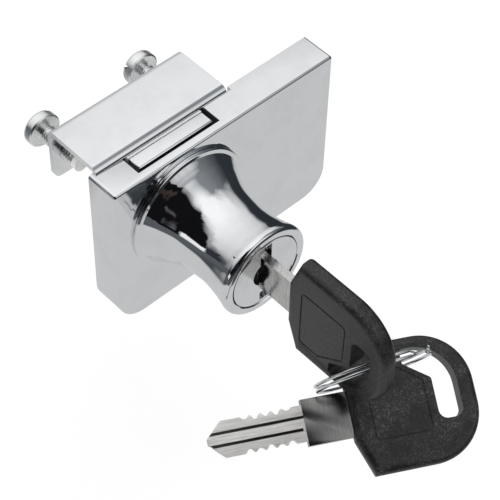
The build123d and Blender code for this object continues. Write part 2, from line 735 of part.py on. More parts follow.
def make_key_heads():
    """Moulded bow of each key, with the slot for the ring and a panel marked out by a groove."""
    half = HEAD_WIDTH / 2
    outline = (
        (HEAD_LENGTH, half),
        (HEAD_SHOULDER, half),
        (0, HEAD_NECK / 2),
        (0, -HEAD_NECK / 2),
        (HEAD_SHOULDER, -half),
        (HEAD_LENGTH, -half),
    )
    slot_right = HEAD_LENGTH - HEAD_RIM
    arc_x = slot_right - HEAD_SLOT_ARC_R
    arc_z = HEAD_SLOT_TOP - HEAD_SLOT_ARC_R
    slot_outline = (
        (arc_x, HEAD_SLOT_TOP),
        (HEAD_SLOT_LEFT, HEAD_SLOT_TOP),
        (HEAD_SLOT_LEFT, HEAD_SLOT_CHAMFER_FROM),
        (HEAD_SLOT_INNER, HEAD_SLOT_CHAMFER_TO),
        (HEAD_SLOT_INNER, HEAD_SLOT_BOTTOM),
        (slot_right, HEAD_SLOT_BOTTOM),
        (slot_right, arc_z),
    )
    for name, frame in key_frames():
        underside = frame.offset(-HEAD_THICKNESS / 2)
        with BuildPart() as head:
            with BuildSketch(underside) as bow:
                with BuildLine():
                    Polyline(*outline, close=True)
                make_face()
                corners = bow.vertices().sort_by(Axis.X)
                fillet(corners[-2:], HEAD_CORNER_R)
                fillet(corners[2:4], HEAD_SHOULDER_R)
            extrude(amount=HEAD_THICKNESS)
            faces = head.faces().filter_by(Axis(frame.origin, frame.z_dir))
            fillet(faces.edges(), HEAD_EDGE_R)
            with BuildSketch(underside) as slot:
                with BuildLine():
                    Polyline(*slot_outline)
                    CenterArc((arc_x, arc_z), HEAD_SLOT_ARC_R, 0, 90)
                make_face()
                columns = slot.vertices().group_by(Axis.X)
                fillet([*columns[0], columns[2].sort_by(Axis.Y)[-1]], HEAD_SLOT_CORNER_R)
                fillet(slot.vertices().group_by(Axis.Y)[0], HEAD_SLOT_END_R)
            extrude(amount=HEAD_THICKNESS, mode=Mode.SUBTRACT)
            for side in (-1, 1):
                with BuildSketch(frame.offset(side * HEAD_THICKNESS / 2)) as panel:
                    with BuildLine():
                        Polyline(*PANEL_OUTLINE, close=True)
                    make_face()
                    fillet(panel.vertices(), PANEL_CORNER_R)
                    offset(amount=-PANEL_GROOVE, mode=Mode.SUBTRACT)
                extrude(amount=-side * PANEL_GROOVE_DEPTH, mode=Mode.SUBTRACT)
            with BuildSketch(frame.offset(-BLADE_THICKNESS / 2)):
                with Locations((TANG_LENGTH / 2, 0)):
                    Rectangle(TANG_LENGTH, TANG_WIDTH)
            extrude(amount=BLADE_THICKNESS, mode=Mode.SUBTRACT)
        save(head, f"{name}_head")


def make_key_ring():
    """Split ring of one unbroken wire: two flat turns joined by a short jog."""
    wire_at = RING_OUTER_R - RING_WIRE_R
    half_step = RING_WIRE_R + RING_TURN_GAP / 2
    jog_end = radians(RING_JOG / 2)
    far_x = wire_at * cos(jog_end)
    far_y = wire_at * sin(jog_end)
    centre = Vector(*RING_FROM_NECK) + Vector(0, HEAD_Y, KNOB_Z)
    ring_plane = Plane(origin=centre, x_dir=RING_JOG_TOWARDS, z_dir=RING_NORMAL)
    with BuildPart() as ring:
        with BuildLine(ring_plane) as wire:
            first = ThreePointArc(
                (far_x, far_y, half_step),
                (-wire_at, 0, half_step),
                (far_x, -far_y, half_step),
            )
            jog = Spline(
                first @ 1,
                (far_x, far_y, -half_step),
                tangents=[(far_y, far_x, 0), (-far_y, far_x, 0)],
            )
            ThreePointArc(
                jog @ 1,
                (-wire_at, 0, -half_step),
                (far_x, -far_y, -half_step),
            )
        with BuildSketch(Plane(origin=wire.wires()[0] @ 0, z_dir=wire.wires()[0] % 0)):
            Circle(RING_WIRE_R)
        sweep(path=wire.wires()[0])
    save(ring, "key_ring")
    print("key ring gap between turns", round(2 * half_step - 2 * RING_WIRE_R, 3))


def make_clamp_screws():
    """Two slotted screws through the clamp's rear leg, each with a pip that carries a soft tip."""
    for name, side in (("left", -1), ("right", 1)):
        spot = (side * CLAMP_SCREW_X, CLAMP_SCREW_Z)
        pad_back = TIP_PAD_Y + TIP_PAD_LENGTH
        head_front = pad_back + CLAMP_SHANK
        head_back = head_front + CLAMP_HEAD_HEIGHT
        with BuildPart() as screw:
            with BuildSketch(facing(head_front)):
                with Locations(spot):
                    Circle(CLAMP_THREAD_R)
            extrude(amount=CLAMP_SHANK)
            with BuildSketch(facing(pad_back)):
                with Locations(spot):
                    Circle(CLAMP_PIP_R)
            extrude(amount=CLAMP_PIP)
            with BuildSketch(facing(head_back)):
                with Locations(spot):
                    Circle(CLAMP_HEAD_R)
            extrude(amount=CLAMP_HEAD_HEIGHT)
            fillet(screw.edges().group_by(Axis.Y)[-1], CLAMP_HEAD_EDGE_R)
            with BuildSketch(facing(head_back)):
                with Locations(spot):
                    Rectangle(SCREW_SLOT_WIDTH, 2 * CLAMP_HEAD_R)
            extrude(amount=SCREW_SLOT_DEPTH, mode=Mode.SUBTRACT)
        save(screw, f"clamp_screw_{name}")
        with BuildPart() as tip:
            with BuildSketch(facing(pad_back)):
                with Locations(spot):
                    Circle(TIP_PAD_R)
            extrude(amount=TIP_PAD_LENGTH)
            with BuildSketch(facing(pad_back)):
                with Locations(spot):
                    Circle(CLAMP_PIP_R + SEAT_GAP)
            extrude(amount=CLAMP_PIP + SEAT_GAP, mode=Mode.SUBTRACT)
        save(tip, f"tip_pad_{name}")


def sunk_screws(name, spots, back_y, shank_r, head_r, length):
    """Flat countersunk screws with slotted heads at back_y, driven forwards, in one node."""
    cone = head_r - shank_r
    with BuildPart() as screws:
        with BuildSketch(facing(back_y)):
            with Locations(*spots):
                Circle(shank_r)
        extrude(amount=length)
        for x, z in spots:
            with BuildSketch(Plane(origin=(x, back_y, z), x_dir=(0, -1, 0), z_dir=(1, 0, 0))):
                with BuildLine():
                    Polyline((0, 0), (0, head_r), (cone, shank_r), (cone, 0), close=True)
                make_face()
            revolve(axis=axis_along_y(x, z))
        with BuildSketch(facing(back_y)):
            with Locations(*spots):
                Rectangle(SMALL_SLOT_WIDTH, 2 * head_r)
        extrude(amount=SMALL_SLOT_DEPTH, mode=Mode.SUBTRACT)
    save(screws, name)


def make_sunk_screws():
    """Screws through the back plate and through the case wall into the knob."""
    sunk_screws(
        "back_screws",
        back_screw_spots(),
        BACK_Y,
        BACK_SCREW_R,
        BACK_SCREW_HEAD_R,
        BACK_SCREW_LENGTH,
    )
    sunk_screws(
        "knob_screws",
        knob_screw_spots(),
        WALL_BACK_Y,
        KNOB_SCREW_R,
        KNOB_SCREW_HEAD_R,
        KNOB_SCREW_LENGTH,
    )


make_case()
make_clamp_bracket()
make_pads()
make_bolt()
make_bolt_guide()
make_knob()
make_cylinder_body()
make_plug()
make_drive_cam()
make_cam_screw()
make_wafers()
make_wafer_springs()
make_key_blades()
make_key_heads()
make_key_ring()
make_clamp_screws()
make_sunk_screws()
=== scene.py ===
from math import cos, pi, radians, sin

import bmesh
import bpy
from mathutils import Matrix, Vector
from mathutils.bvhtree import BVHTree


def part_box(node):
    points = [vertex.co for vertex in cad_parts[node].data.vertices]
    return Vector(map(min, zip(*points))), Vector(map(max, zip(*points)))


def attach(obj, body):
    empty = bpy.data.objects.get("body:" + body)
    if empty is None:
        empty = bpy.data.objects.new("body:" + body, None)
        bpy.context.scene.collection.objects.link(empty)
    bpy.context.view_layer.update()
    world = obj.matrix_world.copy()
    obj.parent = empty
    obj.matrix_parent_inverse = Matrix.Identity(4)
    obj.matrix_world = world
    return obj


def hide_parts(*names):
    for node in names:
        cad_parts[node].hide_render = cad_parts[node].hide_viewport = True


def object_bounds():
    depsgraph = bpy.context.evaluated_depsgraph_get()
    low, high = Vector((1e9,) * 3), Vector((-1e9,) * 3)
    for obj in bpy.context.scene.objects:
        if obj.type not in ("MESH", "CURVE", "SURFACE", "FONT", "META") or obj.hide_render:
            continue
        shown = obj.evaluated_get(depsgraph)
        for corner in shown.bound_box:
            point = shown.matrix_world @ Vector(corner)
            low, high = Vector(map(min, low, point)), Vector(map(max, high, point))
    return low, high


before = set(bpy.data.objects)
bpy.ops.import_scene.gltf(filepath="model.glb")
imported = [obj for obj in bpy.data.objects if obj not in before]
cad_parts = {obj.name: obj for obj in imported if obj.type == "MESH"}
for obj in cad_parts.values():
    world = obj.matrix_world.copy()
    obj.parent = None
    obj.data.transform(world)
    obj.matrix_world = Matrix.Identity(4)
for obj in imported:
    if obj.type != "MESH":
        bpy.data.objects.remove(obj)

bl_info = {
    "name": "Clamp-on cabinet lock",
    "version": (1, 0, 0),
    "blender": (4, 5, 0),
    "location": "View3D > Sidebar > Lock",
    "description": "Finished pieces of a clamp-on lock for a double glass cabinet door",
    "category": "Object",
}

CAD_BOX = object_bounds()
MM = 0.001
UP = Vector((0, 0, 1))
ALONG_Y = Vector((0, 1, 0))

# Driving places, read from the frame
FACE_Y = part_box("case")[0].y
BOLT_BACK_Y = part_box("bolt")[1].y
KNOB_LOW, KNOB_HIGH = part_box("knob")
KNOB_AXIS = Vector(((KNOB_LOW.x + KNOB_HIGH.x) / 2, 0, (KNOB_LOW.z + KNOB_HIGH.z) / 2))
PLUG_LOW, PLUG_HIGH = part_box("plug")

# Angles past which an edge is rounded or stays sharp, and below which faces are joined, in degrees
ROUND_OVER = 30.0
ROUND_OVER_BOW = 40.0
ROUND_OVER_PAD = 60.0
SHARP_OVER = 24.0
SHARP_OVER_TURNED = 32.0
JOIN_UNDER = 0.6

# Gaps across which points are merged
CAD_GAP = 0.002 * MM
TURNED_GAP = 0.001 * MM
CUT_GAP = 0.0005 * MM
SPLIT_GAP = 0.0001 * MM

# Steps that a small arc, a turned piece and a turn of thread are made of
ARC_STEPS = 8
KNOB_CURVE_STEPS = 10
KNOB_STEPS = 128
CLAMP_STEPS = 64
THREAD_STEPS = 40

# Knob: pairs of distance in front of the case and radius, its rounded edges, and the bore in it
KNOB_FORM = [
    (along * MM, radius * MM)
    for along, radius in (
        (1.1, 13.7),
        (2.4, 12.8),
        (4.0, 11.9),
        (8.0, 10.3),
        (13.5, 9.6),
        (17.0, 9.75),
        (20.5, 10.4),
        (22.6, 10.95),
    )
]
KNOB_BASE = 14.8 * MM
KNOB_BASE_ROUND = 0.55 * MM
KNOB_BASE_END = -60.0
KNOB_RIM = (24.0 * MM, 10.95 * MM)
KNOB_RIM_ROUND = 0.8 * MM
KNOB_MOUTH = 8.9 * MM
KNOB_MOUTH_BEVEL = 0.2 * MM
KNOB_MOUTH_FLOOR = 21.4 * MM
KNOB_BORE = 8.35 * MM

# Plug: depth of its plated face, and half height of the band round the keyway where painted shade stays in
# it
PLUG_FACE = 2.4 * MM
PLUG_SHADE_BAND = 4.6 * MM
WAFER_COUNT = 5

# Places in a piece's list of finishes; the inner place holds painted shade
OUTER, INNER_SHADE = range(2)
STEEL, SHANK, GROOVE = range(3)

# Clamp screws: radii, lengths, and how the slot in each head is turned; shares are of pitch and depth
CLAMP_THREAD = 2.0 * MM
CLAMP_PIP = 1.0 * MM
CLAMP_PIP_LENGTH = 0.8 * MM
CLAMP_HEAD = 4.0 * MM
CLAMP_HEAD_HEIGHT = 2.6 * MM
CLAMP_HEAD_ROUND = 0.9 * MM
CLAMP_HEAD_EDGE = 0.3 * MM
CLAMP_SLOT = 1.0 * MM
CLAMP_SLOT_DEPTH = 1.2 * MM
CLAMP_SLOT_REACH = 1.1 * CLAMP_HEAD
CLAMP_SLOT_TURNS = {"left": 40.0, "right": -60.0}
THREAD_CREST_SHARE = 0.07
THREAD_SUNK_SHARE = 0.25

PAD_EDGE = 0.15 * MM

# Keys: body of each, its way from tip to bow and its face, and how far painted shade darkens its shank
KEY_BODIES = {"key_1": "key_in_plug", "key_2": "second_key"}
KEY_WAYS = {
    "key_1": ((0, -1, 0), (-1, 0, 0)),
    "key_2": ((0.8752, -0.4837, -0.0005), (-0.2204, -0.3996, 0.8899)),
}
SHANK_SHADES = {"key_1": 0.85, "key_2": 0.38}

# Blades and their milled grooves, with painted shade inside the grooves
BLADE_LENGTH = 20.0 * MM
GROOVE_OFFSET = 1.25 * MM
GROOVE_WIDTH = 0.62 * MM
GROOVE_DEPTH = 0.41 * MM
GROOVE_END = 0.5 * MM
# A face of the blade belongs to a groove between these depths, and within this way from its middle
GROOVE_SHALLOW = GROOVE_DEPTH / 4
GROOVE_DEEP = GROOVE_DEPTH * 1.2
GROOVE_BESIDE = GROOVE_WIDTH * 0.6

# Plated finishes: colour, polish, haze and ripple
PLATED = (
    ("case_plating", "chrome", 0.07, 0.02, 0.5),
    ("bracket_plating", "chrome", 0.09, 0.08, 0.6),
    ("bolt_plating", "chrome", 0.14, 0.08, 0.6),
    ("knob_plating", "chrome", 0.015, 0.03, 0.15),
    ("plug_plating", "chrome", 0.16, 0.1, 0.4),
    ("zinc_plating", "zinc", 0.26, 0.16, 1.0),
    ("ring_wire", "chrome", 0.1, 0.12, 0.5),
)

# Brushed finishes: colour, polish, roughness of the streaks, and streaks to a metre along each axis
BRUSHED = (
    # The near-black colour of the key grooves is painted shade
    ("key_groove", (0.05, 0.05, 0.05), 0.4, 0.1, (4000, 4000, 4000)),
    ("spring_wire", "zinc", 0.25, 0.1, (3000, 3000, 600)),
    ("cylinder_brass", "brass", 0.25, 0.15, (500, 6000, 500)),
    ("wafer_brass", "brass", 0.3, 0.15, (600, 3000, 3000)),
)
KEY_STEEL = {"polish": 0.36, "streak": 0.1, "stretch": (4000, 150, 4000), "metallic": 0.7}
KEY_SHANK = {"polish": 0.08, "streak": 0.1, "stretch": (3000, 5000, 300), "height": 0.35}

# Moulded finishes, and the near-black painted shade of recesses, bores and keyways: colour, colour of the
# scuffs, grains to a metre, polish and height
MOULDED = (
    # This near-black colour is painted shade, put in the case's recesses, the knob's bore and the plug's
    # keyway
    ("bare_casting", (0.02, 0.02, 0.021), (0.06, 0.06, 0.06), 1600.0, 0.7, 0.6),
    ("bow_plastic", "bow", (0.07, 0.068, 0.066), 2300.0, 0.36, 0.8),
    ("slip_sheet", (0.5, 0.5, 0.5), (0.42, 0.42, 0.42), 1800.0, 0.5, 0.3),
    ("pad_foam", "pad", (0.72, 0.73, 0.72), 1500.0, 0.7, 0.8),
    ("tip_plastic", (0.82, 0.82, 0.8), (0.74, 0.74, 0.72), 1500.0, 0.35, 0.2),
)

# What every finish group puts out
SURFACE = {"Colour": "Color", "Roughness": "Float", "Height": "Float"}

# Noises of the finishes, each as scale, detail and roughness, with the range and share of it that show
RIPPLE_NOISE = (90.0, 2.0, 0.5)
SMEAR_NOISE = (160.0, 5.0, 0.62)
SMEAR_RANGE = (0.45, 0.75)
SMEAR_COLOUR = (0.7, 0.71, 0.72)
SMEAR_SHARE = 0.35
DUST_NOISE = (2600.0, 2.0, 0.5)
DUST_RANGE = (0.66, 0.74)
DUST_ROUGH = 0.05
STREAK_NOISE = (1.0, 4.0, 0.7)
STREAK_RANGE = (0.3, 0.7)
STREAK_COLOUR = (0.2, 0.195, 0.19)
STREAK_SHARE = 0.6
SPREAD_NOISE = (220.0, 3.0, 0.5)
SPREAD_ROUGH = 0.08
GRAIN_DETAIL = (3.0, 0.6)
SPECK_RANGE = (0.48, 0.75)
SPECK_SHARE = 0.2
PATCH_NOISE = (190.0, 4.0, 0.6)
MOTTLE_RANGE = (0.4, 0.66)
MOTTLE_SHARE = 0.1
MOTTLED_SPECK_SHARE = 0.7
MOTTLE_ROUGH = 0.12
PLATED_HEIGHT = 0.25
BRUSHED_HEIGHT = 0.3
METAL_BUMP = 0.02 * MM
MOULDED_BUMP = 0.03 * MM

# Camera, at the photograph's place
CAMERA_PLACE = (-0.15667, -0.18989, 0.25824)
CAMERA_AHEAD = (0.44383, 0.45779, -0.77035)
CAMERA_RIGHT = (0.73294, -0.68005, 0.01815)
CAMERA_TARGET = (0, -0.02, -0.015)
CAMERA_LENS = 126.06
CAMERA_SENSOR = 36.0
CAMERA_NEAR = 0.01

# Lamps: place, size and power of each
LAMPS = (
    ("over_lamp", (0.1, -0.05, 0.6), 0.5, 3.0),
    ("left_lamp", (-0.6, -0.3, 0.35), 0.5, 1.5),
    ("right_lamp", (0.5, -0.5, 0.35), 0.5, 1.5),
)

# Studio: what polished metal sees, from the dark room's foot up to the white above it
STUDIO_DARK = (0.03, 0.035, 0.042)
STUDIO_SLATE = (0.1, 0.11, 0.12)
STUDIO_WALL = (0.26, 0.28, 0.3)
STUDIO_GREY = (0.62, 0.62, 0.63)
STUDIO_BRIGHT = (1.08, 1.08, 1.08)
STUDIO_BLACK = (0.006, 0.006, 0.007)
STUDIO_BROWN = (0.05, 0.036, 0.03)
ROOM_NOISE = (3.4, 5.0, 0.62)
ROOM_HEIGHTS = (0.15, 0.92)
WHITE_ABOVE = (0.9, 1.0)
# Each card: azimuth, half width and soft edge in degrees, lowest and highest height, colours at both
STUDIO_CARDS = (
    (82.0, 66.0, 12.0, 0.26, 2.0, STUDIO_GREY, STUDIO_BRIGHT),
    (-78.0, 31.0, 12.0, 0.3, 0.86, STUDIO_BRIGHT, STUDIO_GREY),
    (-157.0, 50.0, 2.0, -0.3, 0.96, STUDIO_BLACK, STUDIO_BLACK),
    (-130.0, 5.0, 2.0, 0.55, 0.84, STUDIO_BROWN, STUDIO_BROWN),
    (-154.0, 7.0, 2.0, 0.42, 0.5, STUDIO_BROWN, STUDIO_SLATE),
    (-170.0, 4.0, 2.0, 0.06, 0.32, STUDIO_SLATE, STUDIO_BROWN),
    (164.0, 12.0, 3.0, -0.1, 0.12, STUDIO_GREY, STUDIO_BRIGHT),
    (88.0, 36.0, 10.0, -0.4, 0.4, STUDIO_GREY, STUDIO_GREY),
)
CARD_RAGGED = 0.5
CARD_UNEVEN = 0.2

# What matt surfaces and the camera see instead
STUDIO_EVEN = (0.6, 0.6, 0.6)
WHITE = (1, 1, 1)

# Floor: its paper, and the round pale sheets that polished metal sees on it, as middles and half sizes
FLOOR_SIZE = 4.0
FLOOR_DROP = 0.05
PAPER_NOISE = (700.0, 3.0, 0.5)
PAPER_TONES = ((0.9, 0.9, 0.9), (0.94, 0.94, 0.94))
SHEETS = (((-0.09, -0.045), (0.25, 0.13)), ((0.05, 0.5), (0.32, 0.4)))
SHEET_SEEN = (0.6, 0.605, 0.61)
SHEET_SOFT = (0.92, 1.15)
SLATE_REACH = 0.4
SHADOW_DEPTH = 0.2
SHADOW_REACH = (0.1, 0.3)


class LockSizes(bpy.types.PropertyGroup):
    """Sizes of the edges and fine forms that the finish adds to the lock"""

    edge: bpy.props.FloatProperty(
        name="Edge",
        description="Width of the rounded edge on plated and machined pieces",
        default=0.12 * MM,
        unit="LENGTH",
    )
    fine_edge: bpy.props.FloatProperty(
        name="Fine edge",
        description="Width of the rounded edge on small and stamped pieces",
        default=0.06 * MM,
        unit="LENGTH",
    )
    thread_pitch: bpy.props.FloatProperty(
        name="Thread pitch",
        description="Rise of one turn of a clamp screw's thread",
        default=0.7 * MM,
        unit="LENGTH",
    )
    thread_depth: bpy.props.FloatProperty(
        name="Thread depth",
        description="Depth of a clamp screw's thread",
        default=0.36 * MM,
        unit="LENGTH",
    )


class LockColours(bpy.types.PropertyGroup):
    """Colours of the lock's finishes"""

    chrome: bpy.props.FloatVectorProperty(
        name="Chrome",
        description="Colour of the bright plating",
        subtype="COLOR",
        default=(0.86, 0.87, 0.88),
    )
    zinc: bpy.props.FloatVectorProperty(
        name="Zinc",
        description="Colour of the zinc plated screws",
        subtype="COLOR",
        default=(0.93, 0.94, 0.93),
    )
    nickel: bpy.props.FloatVectorProperty(
        name="Nickel",
        description="Colour of the keys' plated steel",
        subtype="COLOR",
        default=(0.84, 0.83, 0.81),
    )
    brass: bpy.props.FloatVectorProperty(
        name="Brass",
        description="Colour of the cylinder and its wafers",
        subtype="COLOR",
        default=(0.72, 0.56, 0.3),
    )
    bow: bpy.props.FloatVectorProperty(
        name="Key bow",
        description="Colour of the keys' moulded bows",
        subtype="COLOR",
        default=(0.006, 0.006, 0.0065),
    )
    pad: bpy.props.FloatVectorProperty(
        name="Pad",
        description="Colour of the soft pads",
        subtype="COLOR",
        default=(0.8, 0.81, 0.8),
    )


def sizes():
    """The sizes that the user may change."""
    return bpy.context.scene.lock_sizes


def colour_of(choice):
    """A colour that the user may change, by its name, or a plain colour as it is."""
    return getattr(bpy.context.scene.lock_colours, choice) if isinstance(choice, str) else choice


def new_group(name, inputs):
    """A shader node group that puts out a surface, with its named inputs and its outputs' sockets."""
    group = bpy.data.node_groups.new(name, "ShaderNodeTree")
    for way, sockets in (("INPUT", inputs), ("OUTPUT", SURFACE)):
        for socket, kind in sockets.items():
            group.interface.new_socket(socket, in_out=way, socket_type=f"NodeSocket{kind}")
    return group, group.nodes.new("NodeGroupInput").outputs, group.nodes.new("NodeGroupOutput").inputs


def put_out(group, surface, colour, rough, height):
    """Links a group's results to its outputs."""
    for name, value in zip(SURFACE, (colour, rough, height)):
        group.links.new(value, surface[name])
    return group


def feed(tree, socket, value):
    """Links a socket to another one, or gives it a plain number, vector or colour."""
    if isinstance(value, bpy.types.NodeSocket):
        tree.links.new(value, socket)
    elif socket.type == "RGBA":
        socket.default_value = (*value, 1)
    else:
        socket.default_value = value


def math_node(tree, operation, *values):
    """The result of a math node whose inputs are sockets or plain numbers."""
    node = tree.nodes.new("ShaderNodeMath")
    node.operation = operation
    for socket, value in zip(node.inputs, values):
        feed(tree, socket, value)
    return node.outputs["Value"]


def vector_node(tree, operation, first, second=(0, 0, 0)):
    """A vector math node on a socket and a plain vector."""
    node = tree.nodes.new("ShaderNodeVectorMath")
    node.operation = operation
    tree.links.new(first, node.inputs[0])
    node.inputs[1].default_value = second
    return node


def noise_node(tree, vector, scale, detail, roughness):
    """A noise between 0 and 1, its scale in waves to a unit of the vector."""
    node = tree.nodes.new("ShaderNodeTexNoise")
    for name, value in (("Vector", vector), ("Scale", scale), ("Detail", detail), ("Roughness", roughness)):
        feed(tree, node.inputs[name], value)
    return node.outputs["Fac"]


def remap(tree, value, low, high, to_low=0.0, to_high=1.0):
    """Takes value from one range to another and holds it there."""
    node = tree.nodes.new("ShaderNodeMapRange")
    ends = (("From Min", low), ("From Max", high), ("To Min", to_low), ("To Max", to_high))
    for name, number in (("Value", value), *ends):
        feed(tree, node.inputs[name], number)
    return node.outputs["Result"]


def mix_colour(tree, factor, first, second):
    """A colour between two, each a socket or a plain colour."""
    node = tree.nodes.new("ShaderNodeMix")
    node.data_type = "RGBA"
    for name, value in (("Factor", factor), ("A", first), ("B", second)):
        feed(tree, node.inputs[name], value)
    return node.outputs["Result"]


def plated_group():
    """Bright plating: faint ripple, handling haze and fine dust."""
    inputs = {"Colour": "Color", "Polish": "Float", "Haze": "Float", "Ripple": "Float"}
    group, given, surface = new_group("Plated surface", inputs)
    place = group.nodes.new("ShaderNodeTexCoord").outputs["Object"]
    ripple = noise_node(group, place, *RIPPLE_NOISE)
    smear = remap(group, noise_node(group, place, *SMEAR_NOISE), *SMEAR_RANGE)
    dust = remap(group, noise_node(group, place, *DUST_NOISE), *DUST_RANGE)
    rough = math_node(group, "ADD", given["Polish"], math_node(group, "MULTIPLY", smear, given["Haze"]))
    rough = math_node(group, "ADD", rough, math_node(group, "MULTIPLY", dust, DUST_ROUGH))
    dulled = math_node(group, "MULTIPLY", smear, SMEAR_SHARE)
    colour = mix_colour(group, dulled, given["Colour"], SMEAR_COLOUR)
    return put_out(group, surface, colour, rough, math_node(group, "MULTIPLY", ripple, given["Ripple"]))


def brushed_group():
    """Brushed or milled metal: streaks along the place that it is given, dark where they are deep."""
    inputs = {"Colour": "Color", "Place": "Vector", "Polish": "Float", "Streak": "Float"}
    group, given, surface = new_group("Brushed metal", inputs)
    place = group.nodes.new("ShaderNodeTexCoord").outputs["Object"]
    streak = remap(group, noise_node(group, given["Place"], *STREAK_NOISE), *STREAK_RANGE)
    spread = noise_node(group, place, *SPREAD_NOISE)
    worn = math_node(group, "MULTIPLY", streak, STREAK_SHARE)
    colour = mix_colour(group, worn, given["Colour"], STREAK_COLOUR)
    rough = math_node(group, "MULTIPLY_ADD", streak, given["Streak"], given["Polish"])
    rough = math_node(group, "MULTIPLY_ADD", spread, SPREAD_ROUGH, rough)
    return put_out(group, surface, colour, rough, streak)


def moulded_group():
    """Moulded surface, and the painted shade of recesses: fine grain with paler scuffs, more of them in
    worn patches.
    """
    inputs = {"Colour": "Color", "Scuff": "Color", "Grain": "Float", "Polish": "Float"}
    group, given, surface = new_group("Moulded grain", inputs)
    place = group.nodes.new("ShaderNodeTexCoord").outputs["Object"]
    grain = noise_node(group, place, given["Grain"], *GRAIN_DETAIL)
    speck = remap(group, grain, *SPECK_RANGE)
    mottle = remap(group, noise_node(group, place, *PATCH_NOISE), *MOTTLE_RANGE)
    share = math_node(group, "MULTIPLY_ADD", mottle, MOTTLED_SPECK_SHARE, SPECK_SHARE)
    worn = math_node(group, "MULTIPLY", speck, share)
    worn = math_node(group, "MULTIPLY_ADD", mottle, MOTTLE_SHARE, worn)
    colour = mix_colour(group, worn, given["Colour"], given["Scuff"])
    rough = math_node(group, "MULTIPLY_ADD", mottle, MOTTLE_ROUGH, given["Polish"])
    return put_out(group, surface, colour, rough, grain)


def shared_group(name, maker):
    """The node group of that name, made at its first use."""
    return bpy.data.node_groups.get(name) or maker()


def start_material(name, metallic):
    """A material with only a Principled shader, and that shader."""
    material = bpy.data.materials.new(name)
    material.use_nodes = True
    shader = material.node_tree.nodes["Principled BSDF"]
    shader.inputs["Metallic"].default_value = metallic
    return material, shader


def wire_group(material, shader, group, values, height, distance):
    """Places the group with its own values and links its colour, roughness and height to the shader."""
    tree = material.node_tree
    node = tree.nodes.new("ShaderNodeGroup")
    node.node_tree = group
    for name, value in values.items():
        feed(tree, node.inputs[name], value)
    bump = tree.nodes.new("ShaderNodeBump")
    bump.inputs["Strength"].default_value = height
    bump.inputs["Distance"].default_value = distance
    tree.links.new(node.outputs["Colour"], shader.inputs["Base Color"])
    tree.links.new(node.outputs["Roughness"], shader.inputs["Roughness"])
    tree.links.new(node.outputs["Height"], bump.inputs["Height"])
    tree.links.new(bump.outputs["Normal"], shader.inputs["Normal"])


def plated_material(name, colour, polish, haze, ripple):
    """Bright plating on metal."""
    material, shader = start_material(name, 1.0)
    group = shared_group("Plated surface", plated_group)
    values = {"Colour": colour, "Polish": polish, "Haze": haze, "Ripple": ripple}
    wire_group(material, shader, group, values, PLATED_HEIGHT, METAL_BUMP)


def brushed_material(
    name, colour, polish, streak, stretch, turn=(0, 0, 0), height=BRUSHED_HEIGHT, metallic=1.0
):
    """Brushed metal whose streaks run where stretch is smallest, in axes that are turned."""
    material, shader = start_material(name, metallic)
    tree = material.node_tree
    place = tree.nodes.new("ShaderNodeTexCoord").outputs["Object"]
    mapping = tree.nodes.new("ShaderNodeMapping")
    mapping.vector_type = "TEXTURE"
    mapping.inputs["Rotation"].default_value = turn
    mapping.inputs["Scale"].default_value = [1 / one for one in stretch]
    tree.links.new(place, mapping.inputs["Vector"])
    group = shared_group("Brushed metal", brushed_group)
    values = {"Colour": colour, "Place": mapping.outputs["Vector"], "Polish": polish, "Streak": streak}
    wire_group(material, shader, group, values, height, METAL_BUMP)


def moulded_material(name, colour, scuff, grain, polish, height):
    """Moulded surface that isn't plated, and the painted shade of recesses."""
    material, shader = start_material(name, 0.0)
    group = shared_group("Moulded grain", moulded_group)
    values = {"Colour": colour, "Scuff": scuff, "Grain": grain, "Polish": polish}
    wire_group(material, shader, group, values, height, MOULDED_BUMP)


def node_copy(node):
    """A bmesh of a CAD node with its loose triangles merged and its flat faces joined."""
    shape = bmesh.new()
    shape.from_mesh(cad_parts[node].data)
    bmesh.ops.remove_doubles(shape, verts=shape.verts, dist=CAD_GAP)
    bmesh.ops.dissolve_limit(
        shape,
        angle_limit=radians(JOIN_UNDER),
        verts=shape.verts,
        edges=shape.edges,
        use_dissolve_boundaries=False,
    )
    return shape


def soften(shape, width, sharper_than=ROUND_OVER):
    """Rounds the sharp edges of a bmesh."""
    edges = [
        edge
        for edge in shape.edges
        if len(edge.link_faces) == 2
        and edge.calc_face_angle(0) > radians(sharper_than)
        and edge.calc_length() > width / 2
    ]
    bmesh.ops.bevel(
        shape,
        geom=edges,
        offset=width,
        offset_type="OFFSET",
        affect="EDGES",
        segments=2,
        profile=0.5,
        material=-1,
        clamp_overlap=True,
    )


def shade(mesh, sharp_over=SHARP_OVER):
    """Smooth shading, with the edges kept sharp where faces meet at more than that angle."""
    mesh.shade_smooth()
    mesh.set_sharp_from_angle(angle=radians(sharp_over))


def outer_skin(shape):
    """A search tree of the convex form round a bmesh."""
    hull = bmesh.new()
    for vert in shape.verts:
        hull.verts.new(vert.co)
    made = bmesh.ops.convex_hull(hull, input=hull.verts, use_existing_faces=False)
    inside = [item for item in made["geom_interior"] if isinstance(item, bmesh.types.BMVert)]
    bmesh.ops.delete(hull, geom=inside, context="VERTS")
    tree = BVHTree.FromBMesh(hull)
    hull.free()
    return tree


def mark_inside(shape, depth, back):
    """Gives painted shade to the faces in front of back that lie deeper than depth in the outer form."""
    tree = outer_skin(shape)
    for face in shape.faces:
        middle = face.calc_center_median()
        distance = tree.find_nearest(middle)[3]
        if distance > depth and middle.y < back:
            face.material_index = INNER_SHADE


def split(shape, place, normal):
    """Cuts the faces that a plane crosses in two, and keeps both halves."""
    everything = [*shape.verts, *shape.edges, *shape.faces]
    bmesh.ops.bisect_plane(shape, geom=everything, plane_co=place, plane_no=normal, dist=SPLIT_GAP)


